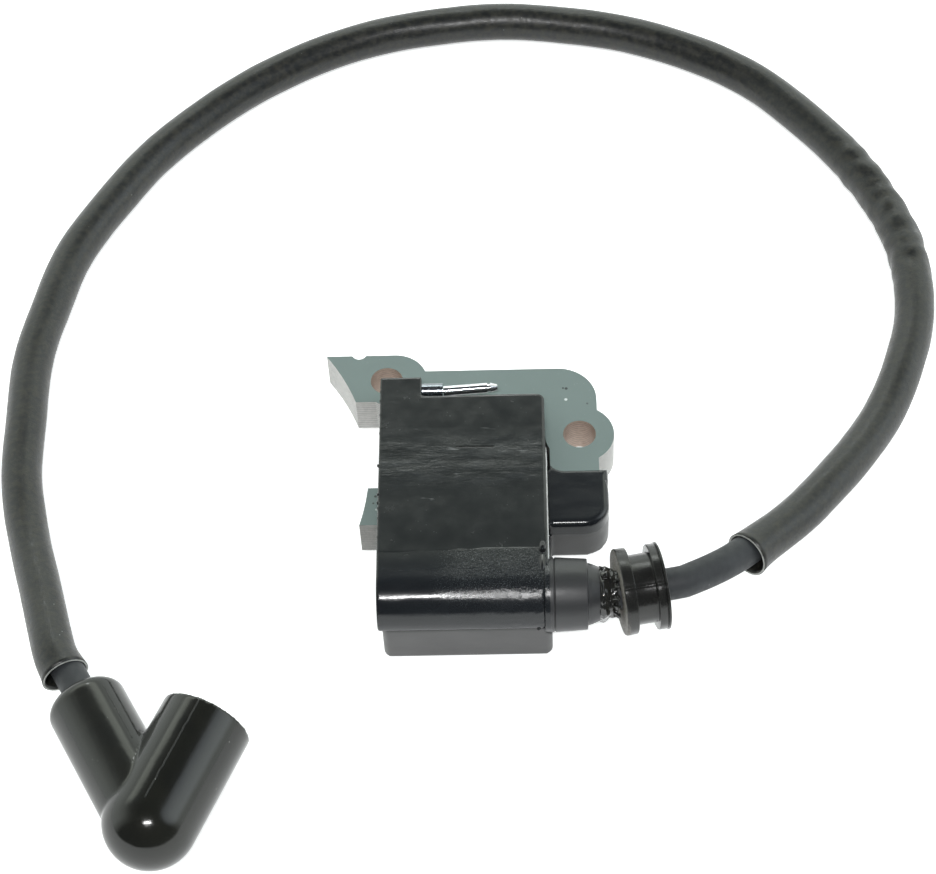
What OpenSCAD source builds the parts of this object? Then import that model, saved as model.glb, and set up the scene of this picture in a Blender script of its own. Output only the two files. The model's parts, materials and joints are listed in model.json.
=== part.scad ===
// Ignition coil module for a small engine: laminated core with two pole faces, potted coil and
// electronics in a moulded case, high-voltage lead in a protective sleeve, and a spark plug boot.
// Millimetres. +X is the side the lead leaves, +Y is the back leg's side, +Z is up. The origin is
// the middle of the module's footprint, on the surface that it lies on.

/* [Core] */
// Number of laminations in the stack
lamination_count = 14; // [12:1:14]
// Thickness of one lamination
lamination_t = 0.5; // [0.45:0.01:0.5]
// Gap left between neighbouring laminations by their varnish
lamination_gap = 0.02; // [0.01:0.01:0.03]
// Radius of the flywheel's magnet face, with the air gap, that the pole faces follow
flywheel_r = 39.7; // [38.5:0.1:42]
// Diameter of the two mounting holes
mount_hole_d = 5.2; // [4.4:0.1:5.4]
// Width of the leg that carries the coil
coil_leg_w = 7; // [6.8:0.1:7]

/* [Case] */
// Height of the case's top edge above the surface
case_top_z = 15.6; // [15.6:0.1:16]
// Wall thickness of the two case halves
case_wall = 1.2; // [1.1:0.05:1.3]
// Radius of the case's round front shoulder
shoulder_r = 5.5; // [5.4:0.05:5.5]

/* [Lead tower] */
// Radius of the tower's base ring
tower_r = 5.7; // [5.6:0.05:5.7]
// Length of the tower outside the case
tower_l = 6.5; // [6:0.1:6.6]
// Length of the cone at the tower's end
nozzle_l = 2.2; // [2:0.1:2.2]

/* [High-voltage lead] */
// Outside diameter of the lead's rubber jacket
lead_d = 5; // [4.8:0.1:5]
// Diameter of the stranded conductor
conductor_d = 1.8; // [1.4:0.1:1.8]
// Outside diameter of the protective sleeve
sleeve_d = 6.6; // [6.4:0.1:7]
// Wall thickness of the protective sleeve
sleeve_wall = 0.45; // [0.35:0.05:0.5]
// Angle at which the lead turns towards the back after the tower
lead_yaw = 10; // [6:1:12]

/* [Grommet] */
// Radius of the grommet's two flanges
grommet_r = 6.8; // [6.2:0.1:7.2]
// Radius of the groove that sits in the engine's housing
groove_r = 5.4; // [4.6:0.1:5.8]
// Width of that groove
groove_w = 3.6; // [3:0.1:4]
// Thickness of each flange
flange_t = 1.6; // [1.2:0.1:1.8]

/* [Plug boot] */
// Outside radius of the socket arm
socket_r = 7.1; // [6.8:0.1:7.1]
// Radius of the socket that grips the spark plug
socket_bore_r = 5; // [4.8:0.1:5.2]
// Length of the socket arm from the elbow's centre to the mouth
socket_l = 18; // [17:0.5:20]
// Outside radius of the arm that takes the lead
lead_arm_r = 6.05; // [5.8:0.05:6.1]
// Length of that arm from the elbow's centre
lead_arm_l = 24.5; // [22:0.5:25]

/* [Stop terminal] */
// Diameter of the terminal's crimped barrel
barrel_d = 2.4; // [2.2:0.1:2.5]
// Diameter of the terminal's pin
stop_pin_d = 1.6; // [1.4:0.1:1.7]

/* [Hidden] */
$fn = 96;

clearance = 0.05;
overshoot = 1;
upright = [0, 0, 1];

// Core, in plan
core_z = 3.7;
core_h = lamination_count * lamination_t;
coil_leg_y = -3.8;
back_leg_y = [16.6, 22.6];
pole_back_y = 26;
yoke_x = [12.8, 20.5];
yoke_corner_r = 6.2;
hole_back = [-13.2, 20.8];
hole_front = [17.6, 9.4];
hole_back_boss_r = pole_back_y - hole_back.y;
hole_back_boss_x = -11.9;
hole_front_boss_r = 5.5;
half_span = hole_front.x + hole_front_boss_r;
flywheel_y = 2.9;
flywheel_x = -half_span - sqrt(flywheel_r ^ 2 - (pole_back_y - flywheel_y) ^ 2);
notch_r = 1.2;
notch_x = -17.8;
notch_depth = 0.7;
blank_x = -26;

// Case
seam_z = 9;
lower_z = 1.5;
lower_x = [-13.3, 12.6];
upper_x = [-13.9, 12.1];
lower_front_y = -25.6;
case_back_y = 14;
corner_r = 1.2;
well_x = [-12.5, 11.9];
well_y = [-12.4, 4.8];
well_floor = 1;
tower_y = -20.3;
tower_z = 10.1;
shoulder_end_x = 11.5;
bay_x = [upper_x[0], -7.3];
bay_y = 17.7;
bay_z = 11;
bay_foot_y = 16.3;
bay_corner_r = 0.4;
cover_x = 21.8;
cover_y = [-8.6, 1.7];
cover_z = [3, 11.8];
cover_r = 4;
web = 2;
resin_drop = 0.1;

// Coil on its leg
coil_z = core_z + core_h / 2;
coil_x = [-11.6, 10.8];
flange_half = 6.1;
coil_flange_t = 0.7;
divider_x = -4.9;
bobbin_half = 4;
charge_half = 5.6;
primary_half = 4.45;
secondary_in = 4.5;
secondary_out = 4.9;
secondary_half = 5.7;
sections = 6;
section_t = 0.35;

// Circuit board and what stands on it
board_x = [-12, 10.8];
board_y = [3.4, 4.2];
board_z = [3.2, 14.6];
pin_wire_r = 0.3;
pin_tail = 0.4;
capacitor_x = [0.2, 10.2];
capacitor_z = [4.2, 13];
capacitor_d = 6.6;
thyristor_x = -8.6;
thyristor_r = 2.3;
thyristor_z = [8.4, 12.9];
thyristor_pitch = 1.27;
thyristor_foot_z = 6.6;
diode_x = [-4.7, -1.7];
resistor_x = [-8.2, -2.9];
coil_pin_spots = [
    [coil_x[0] + coil_flange_t / 2, 5],
    [divider_x + coil_flange_t / 2, 5],
    [divider_x + coil_flange_t / 2, 11.4],
    [coil_x[1] - coil_flange_t / 2, 11.4]
];

// Stop terminal
stop_y = 16.1;
stop_z = 13.9;
barrel_x = [-9, -4];
stop_tail_x = -10;
stop_wire_r = 0.5;
stop_bend_x = -3.1;
stop_tilt = 4;
stop_pin_l = 7.8;
stop_root_l = 3;
stop_root_r = 0.4;
stop_step_l = 0.8;

// Contact in the tower
tower_tube_r = 4.4;
tower_tube_x = -1;
lead_start_x = 0;
contact_r = 3;
contact_t = 0.8;
spike_r = 0.45;
spike_x = 6;
link_r = 0.22;
link_x = -1.24;
nozzle_r = [4.45, 3.9];
collar_l = 1.6;
collar_r = 4.05;

// Plug boot: the elbow's centre, then the directions of its two arms as turn and rise
elbow = [-46.4, -56.1, 7.1];
socket_dir = [66, 2];
lead_arm_dir = [119, -2];
socket_floor = 0.5;
chamber_r = 4.6;
socket_grip_l = 9;
lead_stop = 7.5;
sleeve_stop = 30;
lead_bend = 35;
spring_r = 3.4;
spring_wire_r = 0.4;
spring_turns = 4;
spring_z = [2.6, 7.6];
spring_tail_gap = 0.3;

// The lead's way on the surface. The sleeve covers the middle part, from its own first point.
straight_l = 11;
tower_mouth = [shoulder_end_x + tower_l + nozzle_l + collar_l, tower_y, tower_z];
grommet_gap = 0.9;
rest_z = sleeve_d / 2;
sleeve_points = [
    [42.5, -12, 8.5], [51.5, -3.5, 6], [59.5, 6, 4.5], [66.5, 16.5, rest_z], [71.5, 27.5, rest_z],
    [74.5, 39, rest_z], [74.5, 51.5, rest_z], [71.5, 63, rest_z], [66, 74, rest_z], [59, 84, rest_z],
    [51, 93, rest_z], [41, 100, rest_z], [30, 105, rest_z], [18.5, 108, rest_z], [6.5, 109.5, rest_z],
    [-6, 108.5, rest_z], [-17.5, 106, rest_z], [-29, 101, rest_z], [-39, 94.5, rest_z],
    [-48, 86.5, rest_z], [-56, 77.5, rest_z], [-62.5, 67, rest_z], [-68, 56, rest_z],
    [-71, 44.5, rest_z], [-73, 32.5, rest_z], [-73, 20, rest_z], [-72.5, 8, rest_z],
    [-70, -4, rest_z], [-66.5, -15.5, 4.5]
];

function unit(v) = v / norm(v);
function toward(dir) = [
    cos(dir[0]) * cos(dir[1]),
    sin(dir[0]) * cos(dir[1]),
    sin(dir[1])
];
function on_lead_arm(t) = elbow + toward(lead_arm_dir) * t;
function after_tower(t) = tower_mouth + toward([lead_yaw, 0]) * t;

sleeve_route = concat(sleeve_points, [on_lead_arm(lead_bend), on_lead_arm(sleeve_stop)]);
lead_route = concat(
    [[lead_start_x, tower_y, tower_z], tower_mouth, after_tower(straight_l), [38, -15.5, 9.5]],
    sleeve_route,
    [on_lead_arm(lead_stop)]
);

// Sweeping a round section along a route that never runs along the reference direction
function tangent(route, i) = unit(route[min(i + 1, len(route) - 1)] - route[max(i - 1, 0)]);
function side_of(t, reference) = unit(cross(t, reference));
function ring(route, i, r, sides, reference) =
    let (t = tangent(route, i), s = side_of(t, reference), u = cross(s, t))
    [for (k = [0:sides - 1]) route[i] + r * (cos(360 * k / sides) * u + sin(360 * k / sides) * s)];
function band(first, second, sides) =
    [for (k = [0:sides - 1]) [first + k, first + (k + 1) % sides, second + (k + 1) % sides, second + k]];
function flip(faces) = [for (f = faces) [for (k = [len(f) - 1:-1:0]) f[k]]];

module swept_rod(route, r, sides, reference = upright) {
    n = len(route);
    points = [for (i = [0:n - 1]) each ring(route, i, r, sides, reference)];
    walls = [for (i = [0:n - 2]) each band(i * sides, (i + 1) * sides, sides)];
    start_cap = [for (k = [sides - 1:-1:0]) k];
    end_cap = [for (k = [0:sides - 1]) (n - 1) * sides + k];
    polyhedron(points, concat(walls, [start_cap, end_cap]), convexity = 10);
}

module swept_tube(route, r_out, r_in, sides) {
    n = len(route);
    inner = n * sides;
    last = (n - 1) * sides;
    points = concat(
        [for (i = [0:n - 1]) each ring(route, i, r_out, sides, upright)],
        [for (i = [0:n - 1]) each ring(route, i, r_in, sides, upright)]
    );
    outside = [for (i = [0:n - 2]) each band(i * sides, (i + 1) * sides, sides)];
    inside = [for (i = [0:n - 2]) each band(inner + i * sides, inner + (i + 1) * sides, sides)];
    start_face = band(inner, 0, sides);
    end_face = band(last, inner + last, sides);
    polyhedron(points, concat(outside, flip(inside), start_face, end_face), convexity = 10);
}

// Helpers
module block(x, y, z) {
    translate([x[0], y[0], z[0]])
        cube([x[1] - x[0], y[1] - y[0], z[1] - z[0]]);
}

module rounded_plan(x, y, r) {
    translate([x[0] + r, y[0]])
        square([x[1] - x[0] - 2 * r, y[1] - y[0]]);
    translate([x[0], y[0] + r])
        square([x[1] - x[0], y[1] - y[0] - 2 * r]);
    for (cx = [x[0] + r, x[1] - r], cy = [y[0] + r, y[1] - r])
        translate([cx, cy])
            circle(r = r);
}

module rounded_block(x, y, z, r) {
    translate([0, 0, z[0]])
        linear_extrude(z[1] - z[0])
            rounded_plan(x, y, r);
}

// A cylinder along X, Y or a free direction
module rod_x(x, y, z, r, r2 = undef) {
    translate([x[0], y, z])
        rotate([0, 90, 0])
            cylinder(h = x[1] - x[0], r1 = r, r2 = is_undef(r2) ? r : r2);
}

module rod_y(x, y, z, r) {
    translate([x, y[0], z])
        rotate([-90, 0, 0])
            cylinder(h = y[1] - y[0], r = r);
}

module rod_z(x, y, z, r) {
    translate([x, y, z[0]])
        cylinder(h = z[1] - z[0], r = r);
}

module pointing(dir) {
    rotate([0, 90 - dir[1], dir[0]])
        children();
}

// Core
module pole_cut() {
    translate([flywheel_x, flywheel_y])
        circle(r = flywheel_r, $fn = 360);
}

module core_plan() {
    difference() {
        union() {
            translate([blank_x, back_leg_y[0]])
                square([yoke_x[1] - yoke_corner_r - blank_x, back_leg_y[1] - back_leg_y[0]]);
            translate([blank_x, back_leg_y[0]])
                square([hole_back_boss_x - blank_x, pole_back_y - back_leg_y[0]]);
            translate([hole_back_boss_x, hole_back.y])
                circle(r = hole_back_boss_r);
            translate([yoke_x[1] - yoke_corner_r, back_leg_y[1] - yoke_corner_r])
                circle(r = yoke_corner_r);
            translate([yoke_x[0], coil_leg_y - coil_leg_w / 2])
                square([
                    yoke_x[1] - yoke_x[0],
                    back_leg_y[1] - yoke_corner_r - coil_leg_y + coil_leg_w / 2
                ]);
            translate(hole_front)
                circle(r = hole_front_boss_r);
            translate([blank_x, coil_leg_y - coil_leg_w / 2])
                square([yoke_x[1] - blank_x, coil_leg_w]);
        }
        pole_cut();
        for (hole = [hole_back, hole_front])
            translate(hole)
                circle(d = mount_hole_d);
        translate([notch_x, pole_back_y + notch_r - notch_depth])
            circle(r = notch_r);
    }
}

module core_solid() {
    translate([0, 0, core_z])
        linear_extrude(core_h)
            core_plan();
}

module core_laminations() {
    color("LightSlateGray")
        for (i = [0:lamination_count - 1])
            translate([0, 0, core_z + i * lamination_t])
                linear_extrude(lamination_t - (i < lamination_count - 1 ? lamination_gap : 0))
                    core_plan();
}

// Case
module lower_cavity() {
    block(
        [lower_x[0] + case_wall, lower_x[1] - case_wall],
        [lower_front_y + case_wall, case_back_y - case_wall],
        [lower_z + case_wall, seam_z]
    );
    block(
        [lower_x[0] + case_wall, lower_x[1] - case_wall],
        [well_y[0] + case_wall, well_y[1] - case_wall],
        [well_floor, seam_z]
    );
}

module upper_cavity() {
    cavity_x = [upper_x[0] + case_wall, upper_x[1] - case_wall];
    block(cavity_x, [tower_y + shoulder_r, case_back_y - case_wall], [seam_z, case_top_z]);
    intersection() {
        rod_x(cavity_x, tower_y, tower_z, shoulder_r - case_wall / 2);
        block(cavity_x, [tower_y - shoulder_r, tower_y], [seam_z, case_top_z]);
    }
    block(
        cavity_x,
        [tower_y, tower_y + shoulder_r],
        [seam_z, tower_z + shoulder_r - case_wall / 2]
    );
}

module tower_seat() {
    rod_x([shoulder_end_x, lower_x[1] + overshoot], tower_y, tower_z, tower_r);
    rod_x([tower_tube_x, shoulder_end_x], tower_y, tower_z, tower_tube_r);
}

module core_cover_solid() {
    difference() {
        union() {
            rounded_block([yoke_x[0], cover_x], cover_y, cover_z, cover_r);
            block([upper_x[1], cover_x - cover_r], cover_y, [seam_z, cover_z[1]]);
            block([lower_x[1] - case_wall, cover_x - cover_r], cover_y, [cover_z[0], seam_z]);
            block([cover_x - cover_r, cover_x], [0, cover_y[1]], cover_z);
            block([lower_x[1], lower_x[1] + web], [0, cover_y[1] + web], [core_z + core_h, cover_z[1]]);
        }
        rod_z(lower_x[1] + web, cover_y[1] + web, [core_z, cover_z[1] + overshoot], web);
        block([0, upper_x[1]], [cover_y[0], cover_y[1] + web], [seam_z, cover_z[1] + overshoot]);
    }
}

module case_lower() {
    color([0.13, 0.13, 0.14])
        difference() {
            union() {
                rounded_block(lower_x, [lower_front_y, case_back_y], [lower_z, seam_z], corner_r);
                rounded_block(well_x, well_y, [0, lower_z], corner_r);
                core_cover_solid();
            }
            lower_cavity();
            core_solid();
            tower_seat();
            earth_tab();
        }
}

module case_upper() {
    color([0.09, 0.09, 0.1])
        difference() {
            union() {
                block(upper_x, [tower_y, case_back_y - corner_r], [seam_z, case_top_z]);
                rounded_block(upper_x, [tower_y, case_back_y], [seam_z, case_top_z], corner_r);
                block([bay_x[0], bay_x[1]], [0, bay_foot_y], [seam_z, case_top_z]);
                rounded_block(bay_x, [0, bay_y], [bay_z, case_top_z], bay_corner_r);
                intersection() {
                    rod_x([upper_x[0], shoulder_end_x], tower_y, tower_z, shoulder_r);
                    block(upper_x, [tower_y - shoulder_r, tower_y], [seam_z, case_top_z]);
                }
            }
            upper_cavity();
            core_solid();
            tower_seat();
            stop_wire();
            rod_x([barrel_x[0], barrel_x[1]], stop_y, stop_z, barrel_d / 2);
        }
}

module potting_resin() {
    color([0.05, 0.05, 0.06])
        difference() {
            union() {
                lower_cavity();
                upper_cavity();
            }
            translate([0, 0, case_top_z - resin_drop])
                block(upper_x, [lower_front_y, case_back_y], [0, overshoot]);
            core_solid();
            tower_seat();
            block(
                coil_x,
                [coil_leg_y - flange_half, coil_leg_y + flange_half],
                [coil_z - flange_half, coil_z + flange_half]
            );
            coil_pins();
            board_blank();
            charge_capacitor();
            thyristor();
            diodes();
            resistors();
            earth_tab();
            stop_wire();
            hv_link();
            hv_contact();
        }
}

// Lead tower
module lead_tower() {
    mouth_x = shoulder_end_x + tower_l;
    base_x = lower_x[1] + 0.3;
    color([0.11, 0.11, 0.12])
        difference() {
            union() {
                rod_x([shoulder_end_x, base_x], tower_y, tower_z, tower_r);
                rod_x([base_x, mouth_x], tower_y, tower_z, tower_r - 0.1, tower_r - 0.25);
                rod_x([mouth_x, mouth_x + nozzle_l], tower_y, tower_z, nozzle_r[0], nozzle_r[1]);
                rod_x([tower_tube_x, shoulder_end_x], tower_y, tower_z, tower_tube_r);
            }
            rod_x([lead_start_x, mouth_x + nozzle_l + overshoot], tower_y, tower_z, lead_d / 2 + clearance);
            rod_x([tower_tube_x - overshoot, lead_start_x], tower_y, tower_z, spike_r);
        }
}

module tower_adhesive() {
    start_x = shoulder_end_x + tower_l + nozzle_l;
    color([0.16, 0.15, 0.13])
        difference() {
            rod_x([start_x, start_x + collar_l], tower_y, tower_z, collar_r, collar_r - 0.4);
            rod_x(
                [start_x - overshoot, start_x + collar_l + overshoot],
                tower_y, tower_z, lead_d / 2 + clearance
            );
        }
}

// Coil
module coil_square(x, half) {
    block(x, [coil_leg_y - half, coil_leg_y + half], [coil_z - half, coil_z + half]);
}

module coil_layer(x, half_in, half_out) {
    difference() {
        coil_square(x, half_out);
        coil_square([x[0] - overshoot, x[1] + overshoot], half_in);
    }
}

module coil_bobbin() {
    color("Ivory")
        difference() {
            union() {
                coil_square(coil_x, bobbin_half);
                for (x = [coil_x[0], divider_x, coil_x[1] - coil_flange_t])
                    coil_square([x, x + coil_flange_t], flange_half);
            }
            core_solid();
        }
}

module charge_winding() {
    color("Peru")
        coil_layer([coil_x[0] + coil_flange_t, divider_x], bobbin_half, charge_half);
}

module primary_winding() {
    color("Sienna")
        coil_layer([divider_x + coil_flange_t, coil_x[1] - coil_flange_t], bobbin_half, primary_half);
}

section_x0 = divider_x + coil_flange_t;
section_x1 = coil_x[1] - coil_flange_t;
section_pitch = (section_x1 - section_x0 - section_t) / sections;

module secondary_bobbin() {
    color("WhiteSmoke") {
        coil_layer([section_x0, section_x1], secondary_in, secondary_out);
        for (i = [0:sections])
            translate([i * section_pitch, 0, 0])
                coil_layer([section_x0, section_x0 + section_t], secondary_in, flange_half);
    }
}

module secondary_winding() {
    color("DarkGoldenrod")
        for (i = [0:sections - 1])
            translate([i * section_pitch, 0, 0])
                coil_layer(
                    [section_x0 + section_t, section_x0 + section_pitch],
                    secondary_out, secondary_half
                );
}

module coil_pins() {
    color("Silver")
        for (spot = coil_pin_spots)
            rod_y(spot[0], [coil_leg_y + flange_half, board_y[1] + pin_tail], spot[1], pin_wire_r);
}

// Electronics
module board_blank() {
    color("DarkGreen")
        block(board_x, board_y, board_z);
}

module circuit_board() {
    difference() {
        board_blank();
        coil_pins();
        charge_capacitor();
        thyristor();
        diodes();
        resistors();
    }
}

module board_lead(x, y_end, z) {
    rod_y(x, [board_y[0] - pin_tail, y_end], z, pin_wire_r);
}

module charge_capacitor() {
    back_y = board_y[1] + 0.4;
    mid_z = (capacitor_z[0] + capacitor_z[1]) / 2;
    color("FireBrick")
        block(capacitor_x, [back_y, back_y + capacitor_d], capacitor_z);
    color("Silver")
        for (x = [capacitor_x[0] + 2, capacitor_x[1] - 2])
            board_lead(x, back_y, mid_z);
}

module thyristor() {
    mid_y = board_y[1] + 0.6 + thyristor_r;
    color([0.15, 0.15, 0.15])
        difference() {
            rod_z(thyristor_x, mid_y, thyristor_z, thyristor_r);
            block(
                [thyristor_x - thyristor_r, thyristor_x + thyristor_r],
                [mid_y + thyristor_r * 0.6, mid_y + 2 * thyristor_r],
                [thyristor_z[0] - overshoot, thyristor_z[1] + overshoot]
            );
        }
    color("Silver")
        for (i = [-1:1]) {
            x = thyristor_x + i * thyristor_pitch;
            rod_z(x, mid_y, [thyristor_foot_z, thyristor_z[0]], pin_wire_r);
            board_lead(x, mid_y, thyristor_foot_z);
            translate([x, mid_y, thyristor_foot_z])
                sphere(r = pin_wire_r, $fn = 32);
        }
}

module axial_part(body_r, body_l, span) {
    color("Silver") {
        rod_x([-span / 2, span / 2], 0, 0, pin_wire_r);
        for (x = [-span / 2, span / 2]) {
            rod_y(x, [board_y[0] - pin_tail - board_y[1] - body_r - 0.4, 0], 0, pin_wire_r);
            translate([x, 0, 0])
                sphere(r = pin_wire_r, $fn = 32);
        }
    }
    rod_x([-body_l / 2, body_l / 2], 0, 0, body_r);
}

module diodes() {
    body_r = 1.3;
    color("DimGray")
        for (x = diode_x)
            translate([x, board_y[1] + body_r + 0.4, 10.2])
                rotate([0, 90, 0])
                    axial_part(body_r, 4.2, 6);
}

module resistors() {
    body_r = 0.9;
    color("Tan")
        for (x = resistor_x)
            translate([x, board_y[1] + body_r + 0.4, 4.6])
                axial_part(body_r, 3.2, 4.4);
}

module earth_tab() {
    color("Goldenrod")
        block([8, yoke_x[0]], [board_y[0] - 0.4, board_y[0]], [5, 8]);
}

// Stop terminal
module stop_wire() {
    color("DarkRed") {
        rod_x([stop_tail_x, barrel_x[0]], stop_y, stop_z, stop_wire_r);
        rod_y(stop_tail_x, [board_y[1], stop_y], stop_z, stop_wire_r);
        translate([stop_tail_x, stop_y, stop_z])
            sphere(r = stop_wire_r, $fn = 32);
    }
}

module stop_barrel() {
    color("Silver")
        difference() {
            rod_x(barrel_x, stop_y, stop_z, barrel_d / 2);
            translate([stop_bend_x, stop_y, stop_z])
                pointing([stop_tilt, 0])
                    translate([0, 0, -stop_root_l])
                        cylinder(h = stop_root_l, r = stop_root_r);
        }
}

module stop_pin() {
    pin_r = stop_pin_d / 2;
    groove_l = 0.5;
    tip_l = 1.1;
    groove_z = stop_pin_l - tip_l - groove_l;
    color("Gainsboro")
        translate([stop_bend_x, stop_y, stop_z])
            pointing([stop_tilt, 0]) {
                translate([0, 0, -stop_root_l])
                    cylinder(h = stop_root_l, r = stop_root_r);
                translate([0, 0, -stop_step_l])
                    cylinder(h = stop_step_l + groove_z, r = pin_r);
                translate([0, 0, groove_z])
                    cylinder(h = groove_l, r = pin_r - 0.2);
                translate([0, 0, groove_z + groove_l])
                    cylinder(h = tip_l, r1 = pin_r, r2 = pin_r - 0.35);
            }
}

// High-voltage side
module hv_contact() {
    color("Goldenrod") {
        rod_x([tower_tube_x - contact_t, tower_tube_x], tower_y, tower_z, contact_r);
        rod_x([tower_tube_x, spike_x], tower_y, tower_z, spike_r);
        rod_x([spike_x, spike_x + 1.5], tower_y, tower_z, spike_r, 0.1);
    }
}

module hv_link() {
    color("DarkOrange")
        rod_y(link_x, [tower_y + contact_r, coil_leg_y - secondary_half], tower_z, link_r);
}

module hv_conductor() {
    color("Peru")
        swept_rod(lead_route, conductor_d / 2, 8);
}

module hv_lead() {
    color([0.24, 0.25, 0.27])
        swept_tube(lead_route, lead_d / 2, conductor_d / 2 + clearance, 10);
}

module lead_sleeve() {
    color([0.08, 0.08, 0.08])
        swept_tube(sleeve_route, sleeve_d / 2, sleeve_d / 2 - sleeve_wall, 10);
}

module lead_grommet() {
    bore_r = lead_d / 2 + clearance;
    length = 2 * flange_t + groove_w;
    color([0.2, 0.19, 0.18])
        translate(after_tower(grommet_gap))
            pointing([lead_yaw, 0])
                difference() {
                    union() {
                        cylinder(h = flange_t, r = grommet_r - 0.1);
                        cylinder(h = length, r = groove_r);
                        translate([0, 0, flange_t + groove_w])
                            cylinder(h = flange_t, r = grommet_r);
                    }
                    translate([0, 0, -overshoot])
                        cylinder(h = length + 2 * overshoot, r = bore_r);
                }
}

// Plug boot
module lead_arm_profile() {
    end_r = 2;
    square([lead_arm_r, lead_arm_l - end_r]);
    square([lead_arm_r - end_r, lead_arm_l]);
    translate([lead_arm_r - end_r, lead_arm_l - end_r])
        circle(r = end_r);
}

module plug_boot() {
    color([0.1, 0.1, 0.11])
        translate(elbow)
            difference() {
                union() {
                    sphere(r = socket_r);
                    pointing(socket_dir)
                        cylinder(h = socket_l, r = socket_r);
                    pointing(lead_arm_dir)
                        rotate_extrude()
                            lead_arm_profile();
                }
                pointing(socket_dir) {
                    translate([0, 0, socket_floor])
                        cylinder(h = socket_l, r = chamber_r);
                    translate([0, 0, socket_l - socket_grip_l])
                        cylinder(h = socket_l, r = socket_bore_r);
                }
                pointing(lead_arm_dir)
                    translate([0, 0, lead_stop - 2])
                        cylinder(h = lead_arm_l, r = lead_d / 2 + clearance);
            }
}

// Contact spring: a coil round the socket's axis, with a tail that meets the lead's conductor
function spring_point(f) =
    let (
        along = spring_z[1] + (spring_z[0] - spring_z[1]) * f,
        turn = 360 * spring_turns * f,
        axis = toward(socket_dir),
        side = side_of(axis, upright),
        up = cross(side, axis)
    )
    elbow + axis * along + spring_r * (cos(turn) * side + sin(turn) * up);

spring_steps = 16 * spring_turns;
spring_route = concat(
    [for (i = [0:spring_steps]) spring_point(i / spring_steps)],
    [on_lead_arm(3.6), on_lead_arm(lead_stop - spring_tail_gap)]
);

module boot_spring() {
    color("LightGray")
        swept_rod(spring_route, spring_wire_r, 8, toward(socket_dir));
}

core_laminations();
case_lower();
case_upper();
lead_tower();
tower_adhesive();
potting_resin();
coil_bobbin();
charge_winding();
primary_winding();
secondary_bobbin();
secondary_winding();
coil_pins();
circuit_board();
charge_capacitor();
thyristor();
diodes();
resistors();
earth_tab();
stop_wire();
stop_barrel();
stop_pin();
hv_link();
hv_contact();
hv_conductor();
hv_lead();
lead_sleeve();
lead_grommet();
plug_boot();
boot_spring();
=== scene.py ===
"""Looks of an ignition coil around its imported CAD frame. Metres, in the row's frame."""

import json
import math

import bmesh
import bpy
from mathutils import Matrix, Vector, noise


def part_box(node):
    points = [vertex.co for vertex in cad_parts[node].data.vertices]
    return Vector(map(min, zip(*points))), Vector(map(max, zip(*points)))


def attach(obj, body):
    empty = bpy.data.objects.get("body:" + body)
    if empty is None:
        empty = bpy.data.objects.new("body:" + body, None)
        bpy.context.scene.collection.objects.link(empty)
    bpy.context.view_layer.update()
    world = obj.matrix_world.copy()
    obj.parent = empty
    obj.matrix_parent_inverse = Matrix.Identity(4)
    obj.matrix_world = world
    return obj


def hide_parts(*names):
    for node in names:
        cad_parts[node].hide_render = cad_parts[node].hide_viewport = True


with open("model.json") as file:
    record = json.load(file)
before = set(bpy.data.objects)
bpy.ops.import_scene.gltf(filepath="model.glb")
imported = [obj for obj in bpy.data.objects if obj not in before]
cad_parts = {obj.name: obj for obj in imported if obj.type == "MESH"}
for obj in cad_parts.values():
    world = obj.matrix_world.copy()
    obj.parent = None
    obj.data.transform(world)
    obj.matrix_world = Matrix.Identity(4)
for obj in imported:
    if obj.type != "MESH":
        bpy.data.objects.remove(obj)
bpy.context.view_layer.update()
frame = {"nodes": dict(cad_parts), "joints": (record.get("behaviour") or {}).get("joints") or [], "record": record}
record = frame["record"]
nodes = frame["nodes"]
scene = bpy.context.scene
MM = 0.001
X_AXIS, Z_AXIS = Vector((1, 0, 0)), Vector((0, 0, 1))
joints = {j["name"]: j for j in frame["joints"]}
mounts = {m["name"]: m for m in record["mounts"]}


# ---------------------------------------------------------------- camera and light
# The photo's view, fitted to the core, the case and the loop
CAMERA_PLACE = Vector((9.9, -224.8, 331.1)) * MM
CAMERA_VIEW = Vector((-0.0252, 0.5897, -0.8073)).normalized()
CAMERA_RIGHT = Vector((0.99948, -0.00149, -0.03233))


def make_camera():
    data = bpy.data.cameras.new("camera")
    data.lens = 96.15
    data.sensor_width = 36
    data.clip_start = 0.01
    camera = bpy.data.objects.new("camera", data)
    scene.collection.objects.link(camera)
    up = CAMERA_RIGHT.cross(CAMERA_VIEW).normalized()
    turn = Matrix((CAMERA_VIEW.cross(up), up, -CAMERA_VIEW)).transposed().to_4x4()
    camera.matrix_world = Matrix.Translation(CAMERA_PLACE) @ turn
    scene.camera = camera


def area_light(name, direction, distance, size, power, colour):
    data = bpy.data.lights.new(name, "AREA")
    data.shape = "RECTANGLE"
    data.size, data.size_y = size
    data.energy = power
    data.color = colour
    light = bpy.data.objects.new(name, data)
    scene.collection.objects.link(light)
    away = Vector(direction).normalized()
    light.location = away * distance
    light.rotation_mode = "QUATERNION"
    light.rotation_quaternion = away.to_track_quat("Z", "Y")


def make_lights():
    area_light("front_strip", (-0.01, -0.52, 0.854), 1.0, (0.26, 0.03), 5.2, (1, 1, 1))


make_camera()


# ---------------------------------------------------------------- routes of the lead and its sleeve
def smooth_route(points, step):
    """A Catmull-Rom curve through the points, then evenly spaced points on it."""
    ends = [2 * points[0] - points[1]] + points + [2 * points[-1] - points[-2]]
    fine = []
    for i in range(1, len(ends) - 2):
        a, b, c, d = ends[i - 1 : i + 3]
        for k in range(24):
            t = k / 24
            fine.append(
                0.5
                * (2 * b + (c - a) * t + (2 * a - 5 * b + 4 * c - d) * t**2 + (3 * b - a - 3 * c + d) * t**3)
            )
    fine.append(points[-1].copy())
    return even_route(fine, step)


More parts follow.
